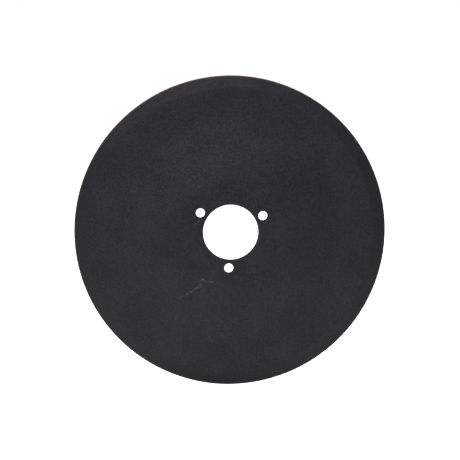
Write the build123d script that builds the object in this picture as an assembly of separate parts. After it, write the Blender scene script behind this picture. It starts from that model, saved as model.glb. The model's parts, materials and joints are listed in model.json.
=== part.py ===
"""Seed drill opener disc: one dished blade, pressed from plate and bolted to a hub by three screws.

The disc turns about the Y axis. Its convex working face looks towards -Y and its hollow side,
which takes the hub, towards +Y. The origin is the centre of the bore, in the plane of the rear
seat face that the hub's flange bolts against. Sizes are in millimetres and degrees.
"""

import os

from build123d import *

# The blank
DISC_DIAMETER = 320.0
PLATE_THICKNESS = 3.0

# The bore that centres the disc on the hub
BORE_DIAMETER = 56.5
BORE_FRONT_RADIUS = 0.5
BORE_REAR_CHAMFER = 0.4

# The screw holes round the bore, one of them straight below it.
# The web is the metal left between the bore and each hole.
SCREW_COUNT = 3
SCREW_HOLE_DIAMETER = 9.3
SCREW_HOLE_CHAMFER = 0.3
SCREW_WEB = 4.1
FIRST_SCREW_ANGLE = 270.0

# The pressed form, from the centre out: flat hub seat, cone, flat rim.
# The margin runs from a screw hole out to the corner between seat and cone, and the rim from the
# corner between cone and rim out to the edge. Both corners are those that the bends round off,
# on the front face, and the bend radii are also the front face's.
SEAT_MARGIN = 13.85
RIM_WIDTH = 46.0
DISH_DEPTH = 10.0
SEAT_BEND_RADIUS = 40.0
RIM_BEND_RADIUS = 80.0

# The cutting edge, ground on the front face only
BEVEL_WIDTH = 13.0
EDGE_LAND = 0.6
EDGE_BREAK = 0.15

# Radii from the axis
DISC_RADIUS = DISC_DIAMETER / 2
BORE_RADIUS = BORE_DIAMETER / 2
SCREW_HOLE_RADIUS = SCREW_HOLE_DIAMETER / 2
SCREW_PITCH_RADIUS = BORE_RADIUS + SCREW_WEB + SCREW_HOLE_RADIUS
SEAT_CORNER_RADIUS = SCREW_PITCH_RADIUS + SCREW_HOLE_RADIUS + SEAT_MARGIN
RIM_CORNER_RADIUS = DISC_RADIUS - RIM_WIDTH

# Heights along the axis
SEAT_REAR_Y = 0.0
SEAT_FRONT_Y = SEAT_REAR_Y - PLATE_THICKNESS
RIM_FRONT_Y = SEAT_FRONT_Y + DISH_DEPTH
RIM_REAR_Y = RIM_FRONT_Y + PLATE_THICKNESS


def plate_section():
    """Half of the pressed plate's section, of even thickness: X is the radius and Y the axis."""
    front = FilletPolyline(
        (BORE_RADIUS, SEAT_FRONT_Y),
        (SEAT_CORNER_RADIUS, SEAT_FRONT_Y),
        (RIM_CORNER_RADIUS, RIM_FRONT_Y),
        (DISC_RADIUS, RIM_FRONT_Y),
        radius=[SEAT_BEND_RADIUS, RIM_BEND_RADIUS],
    )
    return make_face(offset(front, PLATE_THICKNESS, side=Side.LEFT, closed=True))


def corner(section, radius, y):
    """The corner of the section at this radius and height."""
    return section.vertices().sort_by_distance((radius, y, 0))[0]


def rim_end(section):
    """The edge of the section that ends the rim, before the cutting edge is ground."""
    middle = Vector(DISC_RADIUS, (RIM_FRONT_Y + RIM_REAR_Y) / 2)
    return min(section.edges(), key=lambda edge: (edge @ 0.5 - middle).length)


def finished_section():
    """The plate's section with its ground cutting edge and the broken corners of the bore."""
    section = plate_section()
    section = chamfer(
        corner(section, DISC_RADIUS, RIM_FRONT_Y),
        length=PLATE_THICKNESS - EDGE_LAND,
        length2=BEVEL_WIDTH,
        reference=rim_end(section),
    )
    section = chamfer(corner(section, DISC_RADIUS, RIM_REAR_Y), EDGE_BREAK)
    section = fillet(corner(section, BORE_RADIUS, SEAT_FRONT_Y), BORE_FRONT_RADIUS)
    return chamfer(corner(section, BORE_RADIUS, SEAT_REAR_Y), BORE_REAR_CHAMFER)


def screw_hole_cutter():
    """One screw hole's cutter about the Y axis, flared at both faces of the seat."""
    mouth = SCREW_HOLE_RADIUS + SCREW_HOLE_CHAMFER
    outline = Polyline(
        (0, SEAT_FRONT_Y),
        (mouth, SEAT_FRONT_Y),
        (SCREW_HOLE_RADIUS, SEAT_FRONT_Y + SCREW_HOLE_CHAMFER),
        (SCREW_HOLE_RADIUS, SEAT_REAR_Y - SCREW_HOLE_CHAMFER),
        (mouth, SEAT_REAR_Y),
        (0, SEAT_REAR_Y),
        close=True,
    )
    return revolve(make_face(outline), Axis.Y)


def opener_disc():
    """The whole blade: the section turned about the axis, then its screw holes."""
    disc = revolve(finished_section(), Axis.Y)
    cutter = screw_hole_cutter()
    for number in range(SCREW_COUNT):
        angle = FIRST_SCREW_ANGLE + number * 360 / SCREW_COUNT
        disc -= Rot(Y=-angle) * Pos(X=SCREW_PITCH_RADIUS) * cutter
    return disc


os.makedirs("parts", exist_ok=True)
disc = opener_disc()
disc.label = "opener_disc"
export_step(disc, "parts/opener_disc.step")
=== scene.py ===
"""The looks of a seed drill opener disc: satin black paint on a pressed blade, in a white studio.

The blade stands on its edge with its convex face towards -Y, where the camera is. Lengths are in
metres and angles in degrees. A point of the blade's section is a complex number: its distance
from the axis, plus its height along +Y times 1j.
"""

import cmath
import json
import math

import bpy
from mathutils import Euler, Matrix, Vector


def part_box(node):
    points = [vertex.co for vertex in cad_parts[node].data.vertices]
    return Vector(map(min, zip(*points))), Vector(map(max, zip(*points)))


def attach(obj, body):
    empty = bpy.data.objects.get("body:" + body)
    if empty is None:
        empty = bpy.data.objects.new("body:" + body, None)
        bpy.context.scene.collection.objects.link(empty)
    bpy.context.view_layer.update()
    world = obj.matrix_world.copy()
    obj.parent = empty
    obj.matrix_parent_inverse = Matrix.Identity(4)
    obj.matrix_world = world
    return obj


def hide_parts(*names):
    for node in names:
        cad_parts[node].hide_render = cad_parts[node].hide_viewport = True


MM = 0.001

# The pressed form, on the front face: the corners that the bends round off, and the bends
PLATE_THICKNESS = 3.0 * MM
SEAT_CORNER_RADIUS = 55.5 * MM
RIM_WIDTH = 46.0 * MM
SEAT_BEND_RADIUS = 40.0 * MM
RIM_BEND_RADIUS = 80.0 * MM

# The ground cutting edge, and the small breaks of the other corners
BEVEL_WIDTH = 13.0 * MM
EDGE_LAND = 0.6 * MM
EDGE_BREAK = 0.15 * MM
BEVEL_CORNER_RADIUS = 6.0 * MM
BORE_FRONT_RADIUS = 0.5 * MM
BORE_REAR_CHAMFER = 0.4 * MM
SCREW_HOLE_CHAMFER = 0.3 * MM
FIRST_SCREW_ANGLE = 270.0

# How finely the blade is meshed: steps round the axis, in a bend, in a small corner and along a flat
TURN_STEPS = 480
BEND_STEPS = 14
CORNER_STEPS = 4
LONGEST_STEP = 3.5 * MM

# The camera, on the photograph's line of sight
CAMERA_AZIMUTH = -3.8
CAMERA_ELEVATION = 7.0
CAMERA_ROLL = 3.0
CAMERA_DISTANCE = 3.0
CAMERA_AIM = Vector((-0.7, 0.0, 1.95)) * MM
SENSOR_WIDTH_MM = 36.0
FRAME_WIDTH_AT_BLADE = 0.4714

# The paint. A grain is the distance between a pattern's blots, and a depth its height.
PAINT_DARK = (0.0041, 0.0038, 0.0053, 1)
PAINT_LIGHT = (0.0126, 0.0118, 0.0164, 1)
PAINT_ROUGHNESS = (0.38, 0.52)
PAINT_SPECULAR = 0.12
CLOUD_GRAIN = 34.0 * MM
CLOUD_SHARE = 0.3
GLOSS_GRAIN = 7.0 * MM
PEEL_GRAIN = 5.0 * MM
PEEL_DEPTH = 0.45 * MM
GRIT_GRAIN = 2.2 * MM
GRIT_DEPTH = 0.4 * MM
DUST_GRAIN = 2.4 * MM
DUST_SHARE = 0.12
DUST_COLOUR = (0.06, 0.058, 0.062, 1)

# The ground bevel and its worn edge
# Both bevel tones are darker than the face's paint: painted shade on the bevel, against the overhead
# lamp's light on it.
BEVEL_DARK = (0.0034, 0.0032, 0.0044, 1)
BEVEL_LIGHT = (0.0076, 0.0071, 0.0099, 1)
BEVEL_ROUGHNESS = 0.5
BEVEL_ANISOTROPY = 0.2
BEVEL_SPECULAR = 0.14
RING_GRAIN = 1.2 * MM
RING_DEPTH = 0.04 * MM
EDGE_WEAR = 0.9 * MM
EDGE_WEAR_GRAIN = 4.0 * MM
EDGE_COLOUR = (0.045, 0.016, 0.015, 1)

# Scuffs on the front face: half the width, then the points (x, z), in millimetres
SCUFFS = (
    (2.0, ((-49.0, -71.1), (-40.4, -65.7), (-28.1, -56.7))),
    (1.3, ((-28.1, -56.7), (-27.9, -50.7), (-26.0, -49.7), (-22.5, -51.5))),
    (1.6, ((-22.5, -51.5), (-15.6, -52.5))),
    (1.7, ((-38.3, 4.9), (-33.1, 10.1))),
    (0.9, ((-21.5, -33.7), (-21.0, -33.2))),
    (0.9, ((-17.1, -41.1), (-16.8, -40.6))),
)
SCUFF_COLOUR = (0.045, 0.044, 0.047, 1)
SCUFF_GRAIN = 1.8 * MM
SCUFF_WANDER = 3.0 * MM
SCUFF_WANDER_GRAIN = 5.0 * MM

# The studio
WORLD_LEVEL = 0.3
FLOOR_COLOUR = (0.5, 0.5, 0.5, 1.0)
FLOOR_SIZE = 12.0
FLOOR_GLOW = 0.9
LAMPS = {
    # name: (azimuth, elevation, distance, size, power)
    "overhead": (-80.0, 82.0, 1.0, 0.5, 38.0),
    "left": (-89.0, 50.0, 1.0, 0.5, 12.0),
    "front": (-5.0, 15.0, 2.4, 1.0, 8.0),
    "rear": (150.0, 35.0, 2.4, 1.0, 40.0),
}


def direction(azimuth, elevation):
    """The unit vector out to this azimuth, from -Y towards +X, and elevation."""
    a, e = math.radians(azimuth), math.radians(elevation)
    return Vector((math.sin(a) * math.cos(e), -math.cos(a) * math.cos(e), math.sin(e)))


def place(obj):
    """Puts a new object in the scene."""
    bpy.context.scene.collection.objects.link(obj)
    return obj


def make_camera():
    data = bpy.data.cameras.new("camera")
    data.sensor_width = SENSOR_WIDTH_MM
    data.lens = SENSOR_WIDTH_MM * CAMERA_DISTANCE / FRAME_WIDTH_AT_BLADE
    camera = place(bpy.data.objects.new("camera", data))
    back = direction(CAMERA_AZIMUTH, CAMERA_ELEVATION)
    camera.location = CAMERA_AIM + back * CAMERA_DISTANCE
    look = (-back).to_track_quat("-Z", "Y")
    camera.rotation_mode = "QUATERNION"
    camera.rotation_quaternion = look @ Euler((0, 0, math.radians(CAMERA_ROLL))).to_quaternion()
    bpy.context.scene.camera = camera


def beside(corners, distance):
    """The corners of the line that runs this far to the left of a line."""
    runs = [(b - a) / abs(b - a) for a, b in zip(corners, corners[1:])]
    moved = []
    for corner, before, after in zip(corners, [runs[0]] + runs, runs + [runs[-1]]):
        across = (before + after) / abs(before + after) * 1j
        share = (across / (before * 1j)).real
        moved.append(corner + across * distance / share)
    return moved


def rounded(corners, radii, steps):
    """The closed outline through these corners, each rounded by its radius in that many steps."""
    outline = []
    for i, (corner, radius, count) in enumerate(zip(corners, radii, steps)):
        before, after = corners[i - 1], corners[(i + 1) % len(corners)]
        ahead = (corner - before) / abs(corner - before)
        turn = cmath.phase((after - corner) / ahead)
        start = corner - ahead * radius * math.tan(abs(turn) / 2)
        centre = start + ahead * 1j * math.copysign(radius, turn)
        for step in range(count + 1):
            outline.append(centre + (start - centre) * cmath.exp(1j * turn * step / count))
    return outline


def filled(outline, longest):
    """The closed outline with points added along its runs, so that no step is longer."""
    points = []
    for a, b in zip(outline, outline[1:] + outline[:1]):
        count = max(1, math.ceil(abs(b - a) / longest))
        points += [a + (b - a) * i / count for i in range(count)]
    return points


def lathe(name, section, steps, closed=True):
    """The object that a section makes when it turns about the Y axis."""
    turns = [math.tau * i / steps for i in range(steps)]
    points = [(p.real * math.cos(t), p.imag, p.real * math.sin(t)) for t in turns for p in section]
    count = len(section)
    faces = []
    for turn in range(steps):
        here, there = turn * count, (turn + 1) % steps * count
        for i in range(count if closed else count - 1):
            j = (i + 1) % count
            faces.append((here + i, here + j, there + j, there + i))
    if not closed:
        faces.append([turn * count for turn in range(steps)][::-1])
        faces.append([turn * count + count - 1 for turn in range(steps)])
    mesh = bpy.data.meshes.new(name)
    mesh.from_pydata(points, [], faces)
    mesh.validate()
    return place(bpy.data.objects.new(name, mesh))


def blade_section(disc_radius, bore_radius, seat_front, rim_rear):
    """The closed outline of the blade's section, round from the front of the bore."""
    seat_rear = seat_front + PLATE_THICKNESS
    rim_front = rim_rear - PLATE_THICKNESS
    front = [
        complex(bore_radius, seat_front),
        complex(SEAT_CORNER_RADIUS, seat_front),
        complex(disc_radius - RIM_WIDTH, rim_front),
        complex(disc_radius, rim_front),
    ]
    rear = beside(front, PLATE_THICKNESS)
    corners = {
        # corner: (radius of its rounding, steps)
        front[0]: (BORE_FRONT_RADIUS, CORNER_STEPS),
        front[1]: (SEAT_BEND_RADIUS, BEND_STEPS),
        front[2]: (RIM_BEND_RADIUS, BEND_STEPS),
        complex(disc_radius - BEVEL_WIDTH, rim_front): (BEVEL_CORNER_RADIUS, CORNER_STEPS),
        complex(disc_radius, rim_rear - EDGE_LAND): (EDGE_BREAK, CORNER_STEPS),
        complex(disc_radius, rim_rear): (EDGE_BREAK, CORNER_STEPS),
        rear[2]: (RIM_BEND_RADIUS + PLATE_THICKNESS, BEND_STEPS),
        rear[1]: (SEAT_BEND_RADIUS - PLATE_THICKNESS, BEND_STEPS),
        complex(bore_radius + BORE_REAR_CHAMFER, seat_rear): (EDGE_BREAK, CORNER_STEPS),
        complex(bore_radius, seat_rear - BORE_REAR_CHAMFER): (EDGE_BREAK, CORNER_STEPS),
    }
    radii, steps = zip(*corners.values())
    return filled(rounded(list(corners), radii, steps), LONGEST_STEP)


def screw_hole_section(hole_radius, seat_front, seat_rear):
    """The section of a screw hole's cutter, flared at both faces and run past them."""
    past = MM
    return [
        complex(hole_radius + SCREW_HOLE_CHAMFER + past, seat_front - past),
        complex(hole_radius, seat_front + SCREW_HOLE_CHAMFER),
        complex(hole_radius, seat_rear - SCREW_HOLE_CHAMFER),
        complex(hole_radius + SCREW_HOLE_CHAMFER + past, seat_rear + past),
    ]


def cut(piece, cutter):
    """Takes the cutter's shape out of the piece, and removes the cutter."""
    modifier = piece.modifiers.new("cut", "BOOLEAN")
    modifier.operation = "DIFFERENCE"
    modifier.solver = "EXACT"
    modifier.object = cutter
    graph = bpy.context.evaluated_depsgraph_get()
    mesh = bpy.data.meshes.new_from_object(piece.evaluated_get(graph))
    piece.modifiers.remove(modifier)
    piece.data = mesh
    bpy.data.objects.remove(cutter)


def paint_bevel(blade, disc_radius):
    """Gives the faces of the ground bevel and the edge the blade's second material."""
    for face in blade.data.polygons:
        reach = math.hypot(face.center.x, face.center.z)
        if reach > disc_radius - BEVEL_WIDTH and face.normal.y < 0.5:
            face.material_index = 1


def make_blade(record, low, high):
    mounts = {mount["name"]: mount for mount in record["mounts"]}
    bore_radius = mounts["hub_bore"]["dims"]["r_mm"] * MM
    screws = mounts["hub_screws"]["dims"]
    section = blade_section(high.x, bore_radius, low.y, high.y)
    blade = lathe("blade", section, TURN_STEPS)
    hole = screw_hole_section(screws["hole_r_mm"] * MM, low.y, low.y + PLATE_THICKNESS)
    for number in range(screws["count"]):
        angle = math.radians(FIRST_SCREW_ANGLE + number * 360 / screws["count"])
        cutter = lathe("screw_hole", hole, 64, closed=False)
        pitch = screws["pcd_mm"] * MM / 2
        cutter.location = (pitch * math.cos(angle), 0, pitch * math.sin(angle))
        cut(blade, cutter)
    blade.data.name = "blade"
    blade.data.shade_smooth()
    blade.data.set_sharp_from_angle(angle=math.radians(25))
    return blade


class Graph:
    """A material's nodes. A value given to one of these calls is a socket or a plain number."""

    def __init__(self, name):
        self.material = bpy.data.materials.new(name)
        self.material.use_nodes = True
        self.tree = self.material.node_tree
        self.shader = self.tree.nodes["Principled BSDF"]
        self.position = self.node("TexCoord").outputs["Object"]

    def feed(self, socket, value):
        """Links a socket to an input, or sets the input to a number or colour."""
        if isinstance(value, bpy.types.NodeSocket):
            self.tree.links.new(value, socket)
        else:
            socket.default_value = value

    def node(self, kind, values=(), **settings):
        """A new node with these values on its inputs, by name or number, and these settings."""
        node = self.tree.nodes.new("ShaderNode" + kind)
        for name, value in settings.items():
            setattr(node, name, value)
        for key, value in dict(values).items():
            self.feed(node.inputs[key], value)
        return node

    def math(self, operation, a, b=0.0):
        return self.node("Math", {0: a, 1: b}, operation=operation).outputs[0]

    def vector(self, operation, a, b=(0, 0, 0)):
        return self.node("VectorMath", {0: a, 1: b}, operation=operation).outputs["Vector"]

    def size(self, vector):
        return self.node("VectorMath", {0: vector}, operation="LENGTH").outputs["Value"]

    def ramp(self, value, low, high, start=0.0, end=1.0):
        """A smooth change from start to end while the value goes from low to high."""
        values = {"Value": value, "From Min": low, "From Max": high, "To Min": start, "To Max": end}
        return self.node("MapRange", values, interpolation_type="SMOOTHSTEP").outputs["Result"]

    def noise(self, grain, detail=2.0, vector=None):
        """Soft noise, from 0 to 1, whose largest blots are about one grain apart."""
        values = {"Vector": vector or self.position, "Scale": 1 / grain, "Detail": detail}
        return self.node("TexNoise", values).outputs["Fac"]

    def blend(self, factor, a, b):
        """Colour a where the factor is 0, and colour b where it is 1."""
        mix = self.node("Mix", {"Factor": factor}, data_type="RGBA")
        self.feed(mix.inputs[6], a)
        self.feed(mix.inputs[7], b)
        return mix.outputs[2]

    def bump(self, height, depth, normal=None):
        values = {"Height": height, "Distance": depth}
        if normal:
            values["Normal"] = normal
        return self.node("Bump", values).outputs["Normal"]

    def radius(self):
        """The distance from the blade's axis."""
        return self.size(self.vector("MULTIPLY", self.position, (1, 0, 1)))

    def facing_front(self):
        """1 on the faces that look towards -Y, and 0 on the others."""
        normal = self.node("NewGeometry").outputs["True Normal"]
        return self.math("LESS_THAN", self.node("SeparateXYZ", {0: normal}).outputs["Y"], 0.0)


def scuff_mask(graph):
    """1 along the scuffs on the front face, broken up as a scrape over rough paint is."""
    wander = graph.vector("SUBTRACT", graph.node(
        "TexNoise", {"Vector": graph.position, "Scale": 1 / SCUFF_WANDER_GRAIN}
    ).outputs["Color"], (0.5, 0.5, 0.5))
    wander = graph.vector("MULTIPLY", wander, (SCUFF_WANDER, 0, SCUFF_WANDER))
    flat = graph.vector("ADD", graph.vector("MULTIPLY", graph.position, (1, 0, 1)), wander)
    mask = 0.0
    for width, points in SCUFFS:
        for (x0, z0), (x1, z1) in zip(points, points[1:]):
            start = Vector((x0, 0, z0)) * MM
            run = Vector((x1, 0, z1)) * MM - start
            out = graph.vector("SUBTRACT", flat, start)
            dot = graph.node("VectorMath", {0: out, 1: run / run.length_squared}, operation="DOT_PRODUCT")
            share = graph.node("Clamp", {"Value": dot.outputs["Value"]}).outputs[0]
            along = graph.node("VectorMath", {0: run, "Scale": share}, operation="SCALE")
            away = graph.size(graph.vector("SUBTRACT", out, along.outputs["Vector"]))
            mask = graph.math("MAXIMUM", mask, graph.ramp(away, width * MM, 0.0))
    broken = graph.ramp(graph.noise(SCUFF_GRAIN, 3.0), 0.42, 0.62)
    return graph.math("MULTIPLY", graph.math("MULTIPLY", mask, broken), graph.facing_front())


def paint_relief(graph, depth):
    """The normal of paint over rolled, shot-blasted plate: fine grit with a soft orange peel under it."""
    peel = graph.bump(graph.noise(PEEL_GRAIN), PEEL_DEPTH)
    return graph.bump(graph.noise(GRIT_GRAIN, 3.0), depth, peel)


def paint_colour(graph, dark, light):
    """A mottle of clouds and grit between a dark and a light tone of the paint. The grit is the relief's
    own grit pattern, so the paint is lighter on its bumps and darker in its pits: painted shade in the
    pits.
    """
    clouds = graph.math("MULTIPLY", graph.noise(CLOUD_GRAIN, 4.0), CLOUD_SHARE)
    # The same grit noise as the relief: painted shade, darker in the grit's pits and lighter on its bumps.
    grit = graph.math("MULTIPLY", graph.noise(GRIT_GRAIN, 2.0), 1 - CLOUD_SHARE)
    return graph.blend(graph.ramp(graph.math("ADD", clouds, grit), 0.35, 0.65), dark, light)


def black_paint():
    """Satin black paint on pressed plate, with clouds, grit that is darker in its pits as painted shade,
    dust and a few scuffs.
    """
    graph = Graph("satin_black_paint")
    shader = graph.shader
    colour = paint_colour(graph, PAINT_DARK, PAINT_LIGHT)
    dust = graph.ramp(graph.noise(DUST_GRAIN, 1.0), 0.66, 0.78)
    colour = graph.blend(graph.math("MULTIPLY", dust, DUST_SHARE), colour, DUST_COLOUR)
    colour = graph.blend(scuff_mask(graph), colour, SCUFF_COLOUR)
    graph.feed(shader.inputs["Base Color"], colour)
    gloss = graph.noise(GLOSS_GRAIN, 3.0)
    graph.feed(shader.inputs["Roughness"], graph.ramp(gloss, 0.3, 0.7, *PAINT_ROUGHNESS))
    graph.feed(shader.inputs["Normal"], paint_relief(graph, GRIT_DEPTH))
    shader.inputs["Specular IOR Level"].default_value = PAINT_SPECULAR
    return graph.material


def ground_paint(disc_radius):
    """The same paint, thinner, over the bevel: the grinding rings show through it. Its tones are darker
    than the face's paint: painted shade, so that the overhead lamp lights the bevel less than the face.
    """
    graph = Graph("painted_bevel")
    shader = graph.shader
    colour = paint_colour(graph, BEVEL_DARK, BEVEL_LIGHT)
    wear = graph.math("MULTIPLY", graph.noise(EDGE_WEAR_GRAIN, 3.0), EDGE_WEAR)
    worn = graph.math("ADD", graph.radius(), wear)
    colour = graph.blend(graph.ramp(worn, disc_radius - EDGE_WEAR, disc_radius), colour, EDGE_COLOUR)
    graph.feed(shader.inputs["Base Color"], colour)
    rings = graph.noise(RING_GRAIN, 2.0, graph.node("CombineXYZ", {"X": graph.radius()}).outputs[0])
    graph.feed(shader.inputs["Normal"], graph.bump(rings, RING_DEPTH, paint_relief(graph, GRIT_DEPTH / 2)))
    tangent = graph.node("Tangent", direction_type="RADIAL", axis="Y").outputs[0]
    graph.feed(shader.inputs["Tangent"], tangent)
    shader.inputs["Anisotropic"].default_value = BEVEL_ANISOTROPY
    shader.inputs["Anisotropic Rotation"].default_value = 0.25
    shader.inputs["Roughness"].default_value = BEVEL_ROUGHNESS
    shader.inputs["Specular IOR Level"].default_value = BEVEL_SPECULAR
    return graph.material


def seen_rays(tree):
    """1 for the rays that see the white background: camera, glossy and transmission rays."""
    path = tree.nodes.new("ShaderNodeLightPath")
    either = path.outputs["Is Camera Ray"]
    for name in ("Is Glossy Ray", "Is Transmission Ray"):
        largest = tree.nodes.new("ShaderNodeMath")
        largest.operation = "MAXIMUM"
        tree.links.new(either, largest.inputs[0])
        tree.links.new(path.outputs[name], largest.inputs[1])
        either = largest.outputs[0]
    return either


def make_floor(height):
    """A pale floor that looks white and keeps the blade's shadow."""
    bpy.ops.mesh.primitive_plane_add(size=FLOOR_SIZE, location=(0, 0, height))
    floor = bpy.context.object
    floor.name = "floor"
    material = bpy.data.materials.new("floor")
    material.use_nodes = True
    tree = material.node_tree
    shader = tree.nodes["Principled BSDF"]
    shader.inputs["Base Color"].default_value = FLOOR_COLOUR
    shader.inputs["Roughness"].default_value = 1.0
    shader.inputs["Specular IOR Level"].default_value = 0.0
    shader.inputs["Emission Color"].default_value = (1, 1, 1, 1)
    glow = tree.nodes.new("ShaderNodeMath")
    glow.operation = "MULTIPLY"
    glow.inputs[1].default_value = FLOOR_GLOW
    tree.links.new(seen_rays(tree), glow.inputs[0])
    tree.links.new(glow.outputs[0], shader.inputs["Emission Strength"])
    floor.data.materials.append(material)


def make_world():
    """White where it is seen, and a plain level of soft light on the blade."""
    world = bpy.data.worlds.new("studio")
    world.use_nodes = True
    tree = world.node_tree
    level = tree.nodes.new("ShaderNodeMapRange")
    level.inputs["To Min"].default_value = WORLD_LEVEL
    level.inputs["To Max"].default_value = 1.0
    tree.links.new(seen_rays(tree), level.inputs["Value"])
    background = tree.nodes["Background"]
    background.inputs["Color"].default_value = (1, 1, 1, 1)
    tree.links.new(level.outputs[0], background.inputs["Strength"])
    world.cycles.sampling_method = "NONE"
    bpy.context.scene.world = world


def make_lamp(name, azimuth, elevation, distance, size, power):
    data = bpy.data.lights.new(name, "AREA")
    data.shape = "DISK"
    data.size = size
    data.energy = power
    lamp = place(bpy.data.objects.new(name, data))
    out = direction(azimuth, elevation)
    lamp.location = out * distance
    lamp.rotation_mode = "QUATERNION"
    lamp.rotation_quaternion = out.to_track_quat("Z", "Y")
    lamp.visible_camera = False


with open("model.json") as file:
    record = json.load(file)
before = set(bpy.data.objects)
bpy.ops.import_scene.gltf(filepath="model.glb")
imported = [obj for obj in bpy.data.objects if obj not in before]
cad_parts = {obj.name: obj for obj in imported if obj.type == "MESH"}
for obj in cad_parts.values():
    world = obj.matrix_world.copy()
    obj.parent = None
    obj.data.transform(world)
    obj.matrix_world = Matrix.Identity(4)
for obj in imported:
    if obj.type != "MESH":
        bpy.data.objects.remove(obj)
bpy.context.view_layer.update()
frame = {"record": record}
lowest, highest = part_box("opener_disc")

make_camera()

blade = make_blade(frame["record"], lowest, highest)
blade.data.materials.append(black_paint())
blade.data.materials.append(ground_paint(highest.x))
paint_bevel(blade, highest.x)
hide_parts("opener_disc")
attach(blade, "root")

make_floor(lowest.z)
make_world()
for lamp_name, settings in LAMPS.items():
    make_lamp(lamp_name, *settings)
bpy.context.scene.view_settings.view_transform = "Standard"
